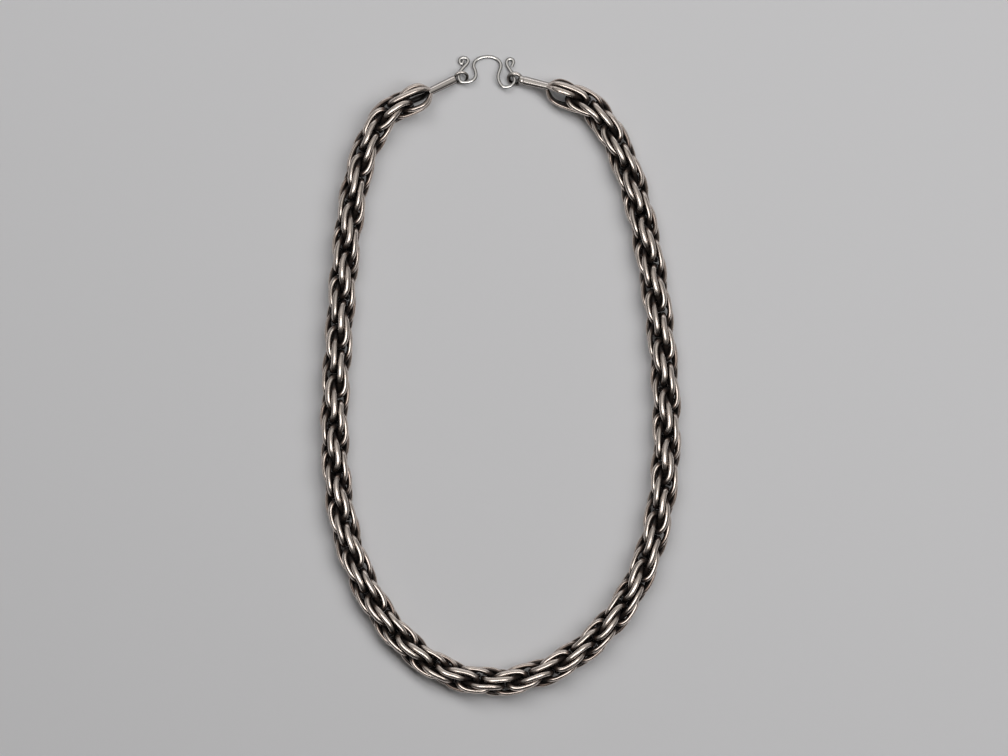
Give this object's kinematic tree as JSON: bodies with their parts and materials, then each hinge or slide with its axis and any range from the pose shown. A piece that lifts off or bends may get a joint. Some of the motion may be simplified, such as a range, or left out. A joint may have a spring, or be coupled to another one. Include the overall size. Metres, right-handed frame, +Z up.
{
  "type": "foxtail chain necklace with m-hook clasp",
  "caption": "Thick round woven wire chain necklace with tapered end tubes, end rings and an M-shaped wire hook, lying closed as an oval loop.",
  "frame": {"origin": "middle of the necklace's outer box, on the surface that it lies on", "axes": "+Y from the bottom of the loop to the hook, +X across the loop to the right as seen from above, +Z up from the surface"},
  "size_m": [0.1121, 0.199, 0.0093],
  "materials": {
    "silver_chain": "polished silver wire, dark tarnish between the links",
    "silver_ends": "polished silver with soft wear and dark seams",
    "silver_hook": "polished silver wire"
  },
  "bodies": {
    "root": {"chain_right": "silver_chain", "chain_left": "silver_chain", "ferrule_right": "silver_ends", "ferrule_left": "silver_ends", "hook_clasp": "silver_hook"}
  },
  "joints": []
}
